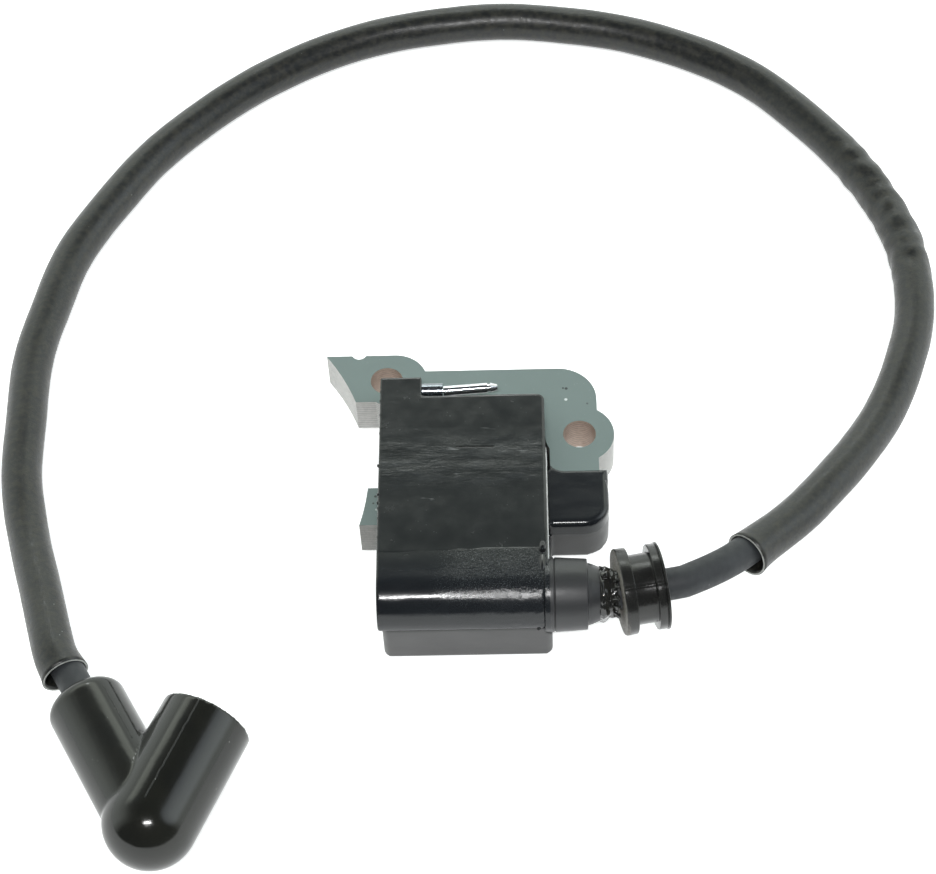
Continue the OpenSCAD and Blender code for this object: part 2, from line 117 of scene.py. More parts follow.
def even_route(points, step):
    lengths = [0]
    for a, b in zip(points, points[1:]):
        lengths.append(lengths[-1] + (b - a).length)
    count = max(2, round(lengths[-1] / step))
    even, i = [], 0
    for k in range(count + 1):
        want = lengths[-1] * k / count
        while i < len(points) - 2 and lengths[i + 1] < want:
            i += 1
        share = (want - lengths[i]) / max(1e-12, lengths[i + 1] - lengths[i])
        even.append(points[i].lerp(points[i + 1], share))
    return even


ELBOW = Vector(joints["boot_swivel"]["pos_m"])
LEAD_ARM = -Vector(joints["boot_swivel"]["axis"]).normalized()
SOCKET_ARM = Vector(mounts["plug_socket"]["axis"]).normalized()
GROMMET_AXIS = Vector(joints["grommet_slide"]["axis"]).normalized()
collar_low, collar_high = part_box("tower_adhesive")
collar_middle = (collar_low + collar_high) / 2
TOWER_MOUTH = Vector((collar_high.x, collar_middle.y, collar_middle.z))
LEAD_R = 2.5 * MM
SLEEVE_R = 3.3 * MM
SLEEVE_WALL = 0.45 * MM
# Millimetres: the radius of the lead's hole, and from the tower's mouth to the grommet
LEAD_HOLE_R = 2.55
GROMMET_GAP = 0.9
# Millimetres from the boot's elbow to the lead's end, the sleeve's end and the lead's last bend
LEAD_STOP = 7.5
SLEEVE_STOP = 30
LEAD_BEND = 35
SLEEVE_LENGTH = 356
# Height of the sleeve's middle where it lies on the surface
REST = SLEEVE_R / MM
SLEEVE_POINTS = [
    (42.5, -12, 8.5), (51.5, -3.5, 6), (59.5, 6, 4.5), (66.5, 16.5, REST), (71.5, 27.5, REST),
    (74.5, 39, REST), (74.5, 51.5, REST), (71.5, 63, REST), (66, 74, REST), (59, 84, REST),
    (51, 93, REST), (41, 100, REST), (30, 105, REST), (18.5, 108, REST), (6.5, 109.5, REST),
    (-6, 108.5, REST), (-17.5, 106, REST), (-29, 101, REST), (-39, 94.5, REST), (-48, 86.5, REST),
    (-56, 77.5, REST), (-62.5, 67, REST), (-68, 56, REST), (-71, 44.5, REST), (-73, 32.5, REST),
    (-73, 20, REST), (-72.5, 8, REST), (-70, -4, REST), (-66.5, -15.5, 4.5),
]


def on_lead_arm(millimetres):
    return ELBOW + LEAD_ARM * millimetres * MM


def after_tower(millimetres):
    return TOWER_MOUTH + GROMMET_AXIS * millimetres * MM


sleeve_points = [Vector(p) * MM for p in SLEEVE_POINTS]
sleeve_points += [on_lead_arm(d) for d in (LEAD_BEND, SLEEVE_STOP)]
lead_points = (
    [Vector((x * MM, TOWER_MOUTH.y, TOWER_MOUTH.z)) for x in (0, 8, 16)]
    + [after_tower(d) for d in (0, 4, 8, 10, 11)]
    + [Vector((38, -15.5, 9.5)) * MM]
    + sleeve_points
    + [on_lead_arm(d) for d in (24, 16, LEAD_STOP)]
)
lead_route = smooth_route(lead_points, 1.5 * MM)
sleeve_route = smooth_route(sleeve_points, 0.8 * MM)


# ---------------------------------------------------------------- mesh helpers
def make_piece(name, vertices, faces):
    mesh = bpy.data.meshes.new(name)
    mesh.from_pydata([tuple(v) for v in vertices], [], faces)
    mesh.validate()
    built = bmesh.new()
    built.from_mesh(mesh)
    bmesh.ops.recalc_face_normals(built, faces=built.faces)
    built.to_mesh(mesh)
    built.free()
    mesh.polygons.foreach_set("use_smooth", [True] * len(mesh.polygons))
    piece = bpy.data.objects.new(name, mesh)
    scene.collection.objects.link(piece)
    return piece


def settle(piece, body, slot, material, *replaced):
    """Rides the piece on its body, with its material, in place of the CAD nodes named. The slot is not used."""
    piece.data.materials.clear()
    piece.data.materials.append(material)
    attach(piece, body)
    if replaced:
        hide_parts(*replaced)
    return piece


def frames_along(route):
    """Each point with two directions across the route, which turn as little as possible."""
    result, across = [], None
    for i, point in enumerate(route):
        tangent = (route[min(i + 1, len(route) - 1)] - route[max(i - 1, 0)]).normalized()
        if across is None:
            across = tangent.cross(Z_AXIS).normalized()
        across = (across - tangent * across.dot(tangent)).normalized()
        result.append((point, across, across.cross(tangent)))
    return result


def tube_rings(route, sides, radius):
    """Rings of points round the route; radius(distance share, angle) gives each point's distance."""
    rings, last = [], len(route) - 1
    for i, (centre, across, rise) in enumerate(frames_along(route)):
        ring = []
        for k in range(sides):
            angle = 2 * math.pi * k / sides
            reach = radius(i / last, angle)
            ring.append(centre + (across * math.cos(angle) + rise * math.sin(angle)) * reach)
        rings.append(ring)
    return rings


def skin(rings, closed=False):
    """Vertices and faces of a surface through the rings; a closed one joins its last ring to its first."""
    sides = len(rings[0])
    vertices = [point for ring in rings for point in ring]
    count = len(rings)
    faces = []
    for i in range(count if closed else count - 1):
        j = (i + 1) % count
        for k in range(sides):
            n = (k + 1) % sides
            faces.append((i * sides + k, i * sides + n, j * sides + n, j * sides + k))
    if not closed:
        faces.append(tuple(range(sides)))
        faces.append(tuple((count - 1) * sides + k for k in range(sides)))
    return vertices, faces


def lathe(name, profile, origin, axis, sides, wobble):
    """A closed surface of revolution: the profile holds (distance along the axis, radius) in
    millimetres, and wobble(distance, angle) adds to the radius."""
    axis = axis.normalized()
    across = axis.cross(Z_AXIS).normalized()
    rise = across.cross(axis)
    rings = []
    for along, radius in profile:
        ring = []
        for k in range(sides):
            angle = 2 * math.pi * k / sides
            reach = radius + wobble(along, angle)
            out = across * math.cos(angle) + rise * math.sin(angle)
            ring.append(origin + axis * along * MM + out * reach * MM)
        rings.append(ring)
    return make_piece(name, *skin(rings, closed=True))


def rounded_profile(corners, bevel):
    """The (along, radius) outline with each corner between its ends cut to a small arc."""
    result = [corners[0]]
    for before, corner, after in zip(corners, corners[1:], corners[2:]):
        here = Vector(corner)
        start, end = Vector(before) - here, Vector(after) - here
        cut = min(bevel, start.length * 0.45, end.length * 0.45)
        a, b = here + start.normalized() * cut, here + end.normalized() * cut
        for k in range(5):
            t = k / 4
            result.append(tuple((1 - t) ** 2 * a + 2 * t * (1 - t) * here + t**2 * b))
    result.append(corners[-1])
    return result


def copy_of(node, name):
    piece = bpy.data.objects.new(name, nodes[node].data.copy())
    scene.collection.objects.link(piece)
    return piece


def apply_modifiers(piece):
    bpy.context.view_layer.update()
    graph = bpy.context.evaluated_depsgraph_get()
    mesh = bpy.data.meshes.new_from_object(piece.evaluated_get(graph))
    piece.modifiers.clear()
    piece.data = mesh
    return piece


def remeshed(piece, voxel, smoothing):
    """The piece's volume as an even fine mesh with softened edges."""
    weld = piece.modifiers.new("weld", "WELD")
    weld.merge_threshold = 0.001 * MM
    remesh = piece.modifiers.new("remesh", "REMESH")
    remesh.mode = "VOXEL"
    remesh.voxel_size = voxel * MM
    remesh.use_smooth_shade = True
    soften = piece.modifiers.new("soften", "SMOOTH")
    soften.factor = 0.5
    soften.iterations = smoothing
    return apply_modifiers(piece)


def pushed(piece, move):
    """Shifts every vertex by what move(place, normal) returns, all in millimetres."""
    mesh = piece.data
    shifts = [move(vertex.co / MM, vertex.normal) for vertex in mesh.vertices]
    for vertex, shift in zip(mesh.vertices, shifts):
        vertex.co += shift * MM
    mesh.update()
    return piece


def rough(place, size, seed=0.0):
    """Smooth noise from -1 to 1 with features of about that size in millimetres."""
    return noise.noise(place / size + Vector((seed, seed * 1.7, seed * 0.3)))


def ease(value, start, end):
    """0 before start, 1 after end and a smooth step between; start may be the larger one."""
    share = min(1, max(0, (value - start) / (end - start)))
    return share * share * (3 - 2 * share)


def boxes(name, spans):
    """One mesh of closed boxes, each given by its two corners in millimetres."""
    built = bmesh.new()
    for low, high in spans:
        low, high = Vector(low) * MM, Vector(high) * MM
        cube = bmesh.ops.create_cube(built, size=1)["verts"]
        for vertex in cube:
            vertex.co = Vector([low[i] + (vertex.co[i] + 0.5) * (high[i] - low[i]) for i in range(3)])
    mesh = bpy.data.meshes.new(name)
    built.to_mesh(mesh)
    built.free()
    piece = bpy.data.objects.new(name, mesh)
    scene.collection.objects.link(piece)
    return piece


def merged(name, parts):
    """One piece from several (vertices, faces) surfaces."""
    vertices, faces = [], []
    for part_vertices, part_faces in parts:
        start = len(vertices)
        vertices += part_vertices
        faces += [tuple(start + i for i in face) for face in part_faces]
    return make_piece(name, vertices, faces)


def drop(centre, radii, seed):
    """A small lumpy blob, its centre and radii in millimetres."""
    built = bmesh.new()
    bmesh.ops.create_icosphere(built, subdivisions=3, radius=1)
    vertices = []
    for vertex in built.verts:
        reach = 1 + 0.22 * noise.noise(vertex.co * 1.3 + Vector((seed, 0, 0)))
        vertices.append((Vector(centre) + Vector([vertex.co[i] * radii[i] * reach for i in range(3)])) * MM)
    faces = [tuple(v.index for v in face.verts) for face in built.faces]
    built.free()
    return vertices, faces


# ---------------------------------------------------------------- material helpers
class Nodes:
    """A node tree; every helper returns an output socket."""

    def __init__(self, tree):
        self.tree = tree

    def add(self, kind, inputs=None, **settings):
        node = self.tree.nodes.new(kind)
        for key, value in settings.items():
            setattr(node, key, value)
        for key, value in (inputs or {}).items():
            if isinstance(value, bpy.types.NodeSocket):
                self.tree.links.new(value, node.inputs[key])
            else:
                node.inputs[key].default_value = value
        return node

    def range(self, value, low, high, a=0.0, b=1.0):
        inputs = {"Value": value, "From Min": low, "From Max": high, "To Min": a, "To Max": b}
        return self.add("ShaderNodeMapRange", inputs).outputs["Result"]

    def math(self, operation, a, b=0.0):
        return self.add("ShaderNodeMath", {0: a, 1: b}, operation=operation).outputs[0]

    def times(self, *values):
        result = values[0]
        for value in values[1:]:
            result = self.math("MULTIPLY", result, value)
        return result

    def mix(self, share, a, b, blend="MIX"):
        colours = [(*c, 1) if isinstance(c, tuple) and len(c) == 3 else c for c in (a, b)]
        inputs = {0: share, 6: colours[0], 7: colours[1]}
        return self.add("ShaderNodeMix", inputs, data_type="RGBA", blend_type=blend).outputs[2]


class Look(Nodes):
    """One procedural material."""

    def __init__(self, name, colour=(0.5, 0.5, 0.5), **values):
        self.material = bpy.data.materials.new(name)
        self.material.use_nodes = True
        super().__init__(self.material.node_tree)
        self.shader = self.tree.nodes["Principled BSDF"]
        self.shader.inputs["Base Color"].default_value = (*colour, 1)
        self.height = None
        for key, value in values.items():
            self.shader.inputs[key.replace("_", " ")].default_value = value
        self.place = self.add("ShaderNodeTexCoord").outputs["Object"]

    def stretched(self, scale, turn):
        inputs = {"Vector": self.place, "Scale": scale, "Rotation": turn}
        return self.add("ShaderNodeMapping", inputs).outputs[0]

    def noise(self, size, detail=3, rough=0.55, stretch=None, turn=(0, 0, 0)):
        """Cloudy noise with features of about that size in millimetres."""
        place = self.stretched(stretch, turn) if stretch else self.place
        inputs = {"Vector": place, "Scale": 1000 / size, "Detail": detail, "Roughness": rough}
        return self.add("ShaderNodeTexNoise", inputs).outputs["Fac"]

    def specks(self, size, radius, share):
        """Small round spots of that radius, as a share of the cell size, in a share of the cells."""
        voronoi = self.add("ShaderNodeTexVoronoi", {"Vector": self.place, "Scale": 1000 / size})
        spot = self.range(voronoi.outputs["Distance"], radius, radius * 0.6)
        split = self.add("ShaderNodeSeparateColor", {"Color": voronoi.outputs["Color"]})
        chosen = self.math("LESS_THAN", split.outputs[0], share)
        return self.math("MULTIPLY", spot, chosen)

    def spot(self, centre, radius):
        """1 inside a ball round a point, fading out over a third of its radius; in millimetres."""
        inputs = {0: self.place, 1: Vector(centre) * MM}
        distance = self.add("ShaderNodeVectorMath", inputs, operation="DISTANCE").outputs["Value"]
        return self.range(distance, radius * MM, radius * 0.67 * MM)

    def within(self, letter, low, high, fade):
        """1 where that coordinate is between two values in millimetres, fading out over a width."""
        middle, half = (low + high) / 2 * MM, (high - low) / 2 * MM
        away = self.math("ABSOLUTE", self.math("SUBTRACT", self.axis(letter), middle))
        return self.range(away, half + fade * MM, half)

    def axis(self, letter):
        split = self.add("ShaderNodeSeparateXYZ", {"Vector": self.place})
        return split.outputs[letter]

    def normal(self, letter):
        geometry = self.add("ShaderNodeNewGeometry")
        return self.add("ShaderNodeSeparateXYZ", {"Vector": geometry.outputs["Normal"]}).outputs[letter]

    def paint(self, **links):
        for key, value in links.items():
            self.tree.links.new(value, self.shader.inputs[key.replace("_", " ")])

    def bump(self, value, depth):
        """Adds relief of that depth in millimetres."""
        inputs = {"Height": value, "Distance": depth * MM, "Strength": 1.0}
        if self.height is not None:
            inputs["Normal"] = self.height
        self.height = self.add("ShaderNodeBump", inputs).outputs["Normal"]
        self.tree.links.new(self.height, self.shader.inputs["Normal"])


def plain_look(name, colour, rough, metal=0.0, size=1.5, spread=0.15, relief=0.01):
    """A moulded, drawn or cast material with slight changes in colour, gloss and relief."""
    look = Look(name, colour, Metallic=metal)
    cloud = look.noise(size, 4)
    grain = look.noise(size / 8, 2)
    dark = tuple(c * (1 - spread) for c in colour)
    pale = tuple(min(1, c * (1 + spread)) for c in colour)
    look.paint(Base_Color=look.mix(cloud, dark, pale))
    look.paint(Roughness=look.range(cloud, 0.3, 0.7, rough * 0.85, min(1, rough * 1.15)))
    look.bump(grain, relief)
    return look.material


def rubber_look():
    look = Look("lead_jacket", (0.035, 0.037, 0.04))
    cloud = look.noise(3, 4)
    flakes = look.times(look.specks(0.7, 0.14, 0.12), look.within("X", 29, 36, 2), 0.6)
    base = look.mix(cloud, (0.02, 0.022, 0.025), (0.036, 0.04, 0.044))
    look.paint(Base_Color=look.mix(flakes, base, (0.45, 0.46, 0.45)))
    look.paint(Roughness=look.range(look.noise(1), 0.3, 0.7, 0.5, 0.68))
    look.bump(look.noise(0.25, 3), 0.015)
    return look.material


def sleeve_look():
    look = Look("sleeve_vinyl", (0.012, 0.013, 0.013))
    cloud = look.noise(6, 4)
    mottle = look.noise(1.1, 6, 0.7)
    haze = look.noise(0.5, 4, 0.6)
    tint = look.mix(look.range(mottle, 0.42, 0.62), (0.008, 0.009, 0.009), (0.03, 0.028, 0.02))
    base = look.mix(look.times(cloud, 0.5), tint, (0.018, 0.021, 0.022))
    dust = look.times(look.specks(1.6, 0.07, 0.2), 0.6)
    look.paint(Base_Color=look.mix(dust, base, (0.3, 0.31, 0.3)))
    look.paint(Roughness=look.range(look.math("ADD", mottle, haze), 0.8, 1.3, 0.28, 0.5))
    look.bump(mottle, 0.05)
    look.bump(look.noise(0.35, 3), 0.01)
    return look.material


def rim_highlight_look():
    # The pale mottled colour is a painted highlight along the sleeve's cut ends
    look = Look("sleeve_rim_painted_highlight", (0.3, 0.31, 0.29), Roughness=0.3)
    look.paint(Base_Color=look.mix(look.noise(0.8, 3), (0.12, 0.12, 0.1), (0.55, 0.57, 0.55)))
    return look.material


def boot_look():
    look = Look("boot_rubber", (0.012, 0.013, 0.013))
    cloud = look.noise(7, 3)
    fine = look.noise(0.5, 4, 0.7)
    dust = look.times(look.specks(0.9, 0.1, 0.1), look.range(look.noise(5), 0.45, 0.6), 0.8)
    base = look.mix(cloud, (0.006, 0.007, 0.007), (0.016, 0.016, 0.012))
    look.paint(Base_Color=look.mix(dust, base, (0.4, 0.41, 0.38)))
    look.paint(Roughness=look.range(look.math("ADD", cloud, fine), 0.7, 1.3, 0.06, 0.17))
    look.bump(fine, 0.004)
    look.bump(look.noise(3, 2), 0.02)
    return look.material


def lamination_look():
    look = Look("lamination_steel", (0.2, 0.25, 0.24))
    cloud = look.noise(5, 4)
    paint = look.mix(cloud, (0.165, 0.215, 0.208), (0.19, 0.245, 0.237))
    fine = look.times(look.specks(0.5, 0.22, 0.12), 0.2)
    paint = look.mix(fine, paint, (0.4, 0.45, 0.44))
    # The interlock dimples are painted, not modelled: dark spots of painted shade and pale spots of painted
    # highlight
    for centre, radius, colour in CORE_DIMPLE_SHADE_AND_HIGHLIGHTS:
        paint = look.mix(look.spot(centre, radius), paint, colour)
    bright = look.mix(look.noise(0.7, 5, 0.65), (0.3, 0.296, 0.285), (0.6, 0.592, 0.575))
    # The coil leg's faces next to the case get a darker copy of the cut steel: painted shade from the case
    shaded_cut = look.mix(look.noise(0.7, 5, 0.65), (0.16, 0.16, 0.15), (0.3, 0.295, 0.28))
    coil_pole_shade = look.times(look.range(look.axis("Y"), 3 * MM, 2 * MM), look.range(look.axis("X"), 0, -1 * MM))
    cut = look.mix(coil_pole_shade, bright, shaded_cut)
    level = look.math("SUBTRACT", look.axis("Z"), core_low.z)
    seam = look.range(look.math("PINGPONG", level, LAMINATION / 2), 0, 0.09 * MM, 0.6, 0)
    cut = look.mix(seam, cut, (0.09, 0.09, 0.085))
    for x, y in CORE_HOLES:
        near_x = look.within("X", x - HOLE_REACH, x + HOLE_REACH, 0.2)
        near_y = look.within("Y", y - HOLE_REACH, y + HOLE_REACH, 0.2)
        near = look.times(near_x, near_y)
        rust = look.mix(look.noise(0.6, 4), (0.34, 0.25, 0.2), (0.7, 0.58, 0.5))
        cut = look.mix(near, cut, look.mix(seam, rust, (0.1, 0.06, 0.05)))
    top = look.range(look.normal("Z"), 0.6, 0.9)
    look.paint(Base_Color=look.mix(top, cut, paint))
    look.paint(Metallic=look.range(top, 0, 1, 0.35, 0.05))
    look.paint(Roughness=look.range(cloud, 0.3, 0.7, 0.4, 0.52))
    look.bump(look.noise(0.3, 3), 0.01)
    look.bump(look.times(look.noise(0.25, 4), look.range(look.normal("Z"), 0.7, 0.3)), 0.05)
    return look.material


def shell_look():
    """Black moulded plastic: satin on the lower walls and the tower, glossy and dusty on top."""
    look = Look("case_plastic", (0.02, 0.021, 0.022))
    cloud = look.noise(4, 5)
    fine = look.noise(0.35, 4, 0.65)
    high = look.range(look.axis("Z"), (SEAM_Z - 0.1) * MM, (SEAM_Z + 0.1) * MM)
    beyond_case = look.range(look.axis("X"), 12.2 * MM, 12.5 * MM)
    tower = look.times(beyond_case, look.range(look.axis("Y"), -13 * MM, -14 * MM))
    high = look.times(high, look.range(tower, 0, 1, 1, 0))
    satin = look.mix(cloud, (0.048, 0.048, 0.048), (0.066, 0.066, 0.066))
    satin = look.mix(tower, satin, (0.03, 0.031, 0.033))
    gloss = look.mix(cloud, (0.008, 0.009, 0.011), (0.014, 0.017, 0.02))
    right_front = look.times(look.within("X", -1, 11.5, 5), look.within("Y", -22.5, -15.5, 2.5))
    dusty = look.times(look.range(look.noise(0.16, 2, 0.8), 0.58, 0.66), right_front, high)
    film = look.mix(look.noise(5, 5), RESIN_DARK, RESIN_PALE)
    on_case = look.range(look.axis("X"), 12.6 * MM, 12.2 * MM)
    filmed = look.times(look.range(look.axis("Y"), -19.5 * MM, -15.5 * MM), on_case)
    gloss = look.mix(filmed, gloss, film)
    base = look.mix(high, satin, gloss)
    look.paint(Base_Color=look.mix(look.times(dusty, 0.3), base, (0.3, 0.33, 0.34)))
    smear = look.range(look.noise(2.5, 4, 0.6, stretch=(0.25, 1, 1)), 0.35, 0.7, 0.14, 0.28)
    look.paint(Roughness=look.math("ADD", smear, look.range(high, 0, 1, 0.2, 0)))
    look.bump(cloud, 0.03)
    look.bump(fine, 0.008)
    look.bump(look.times(look.noise(0.4, 3, 0.7), right_front), 0.06)
    return look.material


def drop_look():
    look = Look("resin_drop", (0.006, 0.006, 0.007), Roughness=0.05)
    look.paint(Base_Color=look.mix(look.noise(0.6, 3), (0.004, 0.004, 0.005), (0.016, 0.017, 0.018)))
    return look.material


def edge_highlight_look():
    # Pale mottled colour: a painted highlight along the case's right top edge
    look = Look("case_edge_painted_highlight", (0.4, 0.41, 0.41), Roughness=0.35)
    look.paint(Base_Color=look.mix(look.noise(1.2, 4), (0.3, 0.31, 0.31), (0.75, 0.76, 0.75)))
    return look.material


def resin_look():
    """Glossy black resin with long smears, scratches and dust."""
    look = Look("resin_film", (0.012, 0.013, 0.014))
    cloud = look.noise(5, 5)
    smears = look.noise(1.6, 6, 0.7, stretch=(0.3, 1, 1), turn=(0, 0, 0.1))
    band = look.within("Y", -1.5, 3.5, 4)
    grey = look.times(look.range(smears, 0.45, 0.7), band)
    base = look.mix(cloud, RESIN_DARK, RESIN_PALE)
    base = look.mix(look.times(grey, 0.35), base, (0.06, 0.066, 0.07))
    scratch = look.range(look.noise(0.8, 2, 0.4, stretch=(0.15, 1, 1), turn=(0, 0, 0.3)), 0.68, 0.72)
    scratch = look.times(scratch, look.range(look.noise(4, 2), 0.5, 0.6), look.within("Y", -6, 6, 3))
    base = look.mix(look.times(scratch, 0.5), base, (0.2, 0.21, 0.21))
    dust = look.times(look.specks(0.4, 0.2, 0.12), look.range(look.noise(3, 3), 0.5, 0.65))
    base = look.mix(look.times(dust, 0.25), base, (0.38, 0.4, 0.4))
    # A thin crack: a bump, plus a near-black line that is painted shade in the crack
    crack_and_shade = look.times(look.within("X", -1.4, 3.7, 0.6), look.within("Y", 3.62, 3.82, 0.12))
    look.paint(Base_Color=look.mix(crack_and_shade, base, (0.002, 0.002, 0.002)))
    look.paint(Roughness=look.range(look.noise(3, 4), 0.35, 0.7, 0.14, 0.28))
    look.bump(look.noise(6, 3), 0.05)
    look.bump(look.times(smears, band), 0.08)
    look.bump(look.math("SUBTRACT", 1.0, crack_and_shade), 0.04)
    return look.material


def adhesive_look():
    look = Look("adhesive", (0.02, 0.02, 0.018), Roughness=0.1, Coat_Weight=0.6)
    look.paint(Base_Color=look.mix(look.noise(0.8, 4), (0.005, 0.005, 0.005), (0.02, 0.02, 0.018)))
    look.bump(look.noise(0.5, 4), 0.06)
    return look.material


def grommet_look():
    """Black rubber, smooth in the groove and dusty on the rough flange faces."""
    look = Look("grommet_rubber", (0.02, 0.02, 0.019))
    grain = look.noise(0.35, 5, 0.7)
    side = look.math("ABSOLUTE", look.normal("X"))
    left = look.range(look.axis("X"), 24.6 * MM, 24.2 * MM)
    low = look.range(look.axis("Z"), 12 * MM, 8 * MM)
    place = look.math("MAXIMUM", look.range(side, 0.5, 0.85), look.times(left, low))
    dusty = look.times(place, look.range(grain, 0.35, 0.6), left)
    base = look.mix(look.noise(1.5, 3), (0.008, 0.008, 0.008), (0.02, 0.02, 0.018))
    look.paint(Base_Color=look.mix(look.times(dusty, 0.8), base, (0.3, 0.285, 0.25)))
    look.paint(Roughness=look.range(dusty, 0, 1, 0.2, 0.7))
    look.bump(grain, 0.02)
    look.bump(look.times(grain, place, left), 0.14)
    return look.material


def barrel_look():
    look = Look("stop_barrel", (0.25, 0.27, 0.3), Metallic=1.0)
    look.paint(Base_Color=look.mix(look.noise(0.8, 4), (0.16, 0.18, 0.2), (0.36, 0.39, 0.42)))
    look.paint(Roughness=look.range(look.noise(0.5, 3), 0.3, 0.7, 0.12, 0.28))
    look.bump(look.noise(1.0, 3, stretch=(1, 0.4, 0.4)), 0.04)
    return look.material


core_low, core_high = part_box("core_laminations")
SEAM_Z = 9
LAMINATION_COUNT = 14
LAMINATION = (core_high.z - core_low.z) / LAMINATION_COUNT
CORE_TOP = 10.7
CORE_HOLES = [(-13.2, 20.8), (17.6, 9.4)]
HOLE_REACH = 2.7
RESIN_DARK, RESIN_PALE = (0.014, 0.016, 0.016), (0.024, 0.027, 0.027)
# Painted shade (the dark spots) and painted highlights (the pale spots) of the interlock dimples on the core's
# paint: place, radius and colour
CORE_DIMPLE_SHADE_AND_HIGHLIGHTS = [
    ((15.7, 18.5, CORE_TOP), 0.3, (0.05, 0.06, 0.06)),
    ((15.2, 18.6, CORE_TOP), 0.2, (0.05, 0.06, 0.06)),
    ((15.6, 16.3, CORE_TOP), 0.3, (0.65, 0.7, 0.7)),
    ((19, 15.4, CORE_TOP), 0.22, (0.1, 0.12, 0.12)),
    ((-14.6, -1.9, CORE_TOP), 0.25, (0.06, 0.07, 0.07)),
    ((-14.9, -3.2, CORE_TOP), 0.2, (0.06, 0.07, 0.07)),
    ((-14.4, -4.4, CORE_TOP), 0.22, (0.5, 0.55, 0.55)),
]
LOOKS = {
    "lamination_steel": lamination_look(),
    "case_plastic": shell_look(),
    "adhesive": adhesive_look(),
    "resin": resin_look(),
    "bobbin_plastic": plain_look("bobbin_plastic", (0.6, 0.58, 0.48), 0.45),
    "copper_wire": plain_look("copper_wire", (0.55, 0.22, 0.08), 0.3, 0.9, relief=0.03),
    "tinned_wire": plain_look("tinned_wire", (0.7, 0.7, 0.72), 0.25, 1.0),
    "board": plain_look("board", (0.02, 0.12, 0.04), 0.4),
    "capacitor_film": plain_look("capacitor_film", (0.25, 0.02, 0.01), 0.2),
    "semiconductor": plain_look("semiconductor", (0.015, 0.015, 0.015), 0.5),
    "resistor_body": plain_look("resistor_body", (0.5, 0.35, 0.18), 0.4),
    "brass_strip": plain_look("brass_strip", (0.65, 0.45, 0.15), 0.25, 1.0),
    "wire_insulation": plain_look("wire_insulation", (0.15, 0.01, 0.01), 0.4),
    "plated_terminal": plain_look("plated_terminal", (0.75, 0.76, 0.78), 0.14, 1.0, relief=0.02),
    "copper_strands": plain_look("copper_strands", (0.6, 0.28, 0.12), 0.3, 1.0, size=0.6),
    "lead_rubber": rubber_look(),
    "sleeve_vinyl": sleeve_look(),
    "grommet_rubber": grommet_look(),
    "boot_rubber": boot_look(),
    "spring_steel": plain_look("spring_steel", (0.65, 0.65, 0.66), 0.25, 1.0),
}
NODE_LOOKS = {"stop_barrel": barrel_look()}


# ---------------------------------------------------------------- high-voltage lead and sleeve
def make_lead():
    rings = tube_rings(lead_route, 28, lambda share, angle: LEAD_R)
    piece = make_piece("lead_jacket", *skin(rings))
    return settle(piece, "module", "lead_rubber", LOOKS["lead_rubber"], "hv_lead", "hv_conductor")


def sleeve_offset(share):
    """The sleeve hangs lower than the lead at both open ends."""
    start = max(0, 1 - share / 0.07)
    end = max(0, 1 - (1 - share) / 0.07)
    return Vector((0.3, -0.2, -0.7)) * MM * start**2 + Vector((-0.55, -0.25, -0.55)) * MM * end**2


def sleeve_reach(share, angle):
    along = share * SLEEVE_LENGTH
    flare = 0.4 * (math.exp(-along / 2.5) + math.exp(-(SLEEVE_LENGTH - along) / 2.5))
    around = Vector((math.cos(angle) * 1.1, math.sin(angle) * 1.1, along * 0.11))
    wrinkle = noise.noise(around) * 0.09 + noise.noise(around * 3.1 + Vector((7, 3, 1))) * 0.03
    kink = ease(along, 62, 74) * ease(along, 104, 92)
    crease = Vector((math.cos(angle) * 1.3, math.sin(angle) * 1.3, along * 0.42))
    return flare + wrinkle + kink * 0.3 * noise.noise(crease)


def make_sleeve():
    last = len(sleeve_route) - 1
    route = [p + sleeve_offset(i / last) for i, p in enumerate(sleeve_route)]
    outer = tube_rings(route, 40, lambda s, a: SLEEVE_R + sleeve_reach(s, a) * MM)
    inner = tube_rings(route, 40, lambda s, a: SLEEVE_R - SLEEVE_WALL + sleeve_reach(s, a) * MM)
    middle = tube_rings(route, 40, lambda s, a: SLEEVE_R - SLEEVE_WALL / 2 + sleeve_reach(s, a) * MM)
    lips = [middle[0], middle[-1]]
    rings = [lips[0]] + outer + [lips[1]] + inner[::-1]
    tube = make_piece("lead_sleeve_tube", *skin(rings, closed=True))
    settle(tube, "module", "sleeve_vinyl", LOOKS["sleeve_vinyl"], "lead_sleeve")
    # Thin beads round both open ends, coloured with a painted highlight along the cut edges
    rims = []
    for ring in lips:
        rims.append(skin(tube_rings(ring + ring[:2], 8, lambda s, a: 0.13 * MM)))
    rim = merged("sleeve_rim_painted_highlights", rims)
    settle(rim, "module", "sleeve_vinyl", rim_highlight_look())
    return tube, rim


# ---------------------------------------------------------------- plug boot
SOCKET_R = 7.1
LEAD_ARM_R = 6.05
SPRING_R = 3.4
SPRING_WIRE_R = 0.4
SPRING_TURNS = 6


def beside(arm, along, angle, reach):
    """A point round an arm of the boot; angle 0 is its top, positive to the camera's right."""
    right = arm.cross(Z_AXIS).normalized()
    if right.x < 0:
        right = -right
    top = (Z_AXIS - arm * arm.z).normalized()
    return ELBOW + (arm * along + (top * math.cos(angle) + right * math.sin(angle)) * reach) * MM


def parting_line(arm, start, end, angle, reach, bead):
    points = []
    for k in range(61):
        along = start + (end - start) * k / 60
        wander = 0.02 * noise.noise(Vector((along * 0.9, angle, 3)))
        points.append(beside(arm, along, angle + wander, reach))
    return skin(tube_rings(points, 8, lambda s, a: bead * MM))


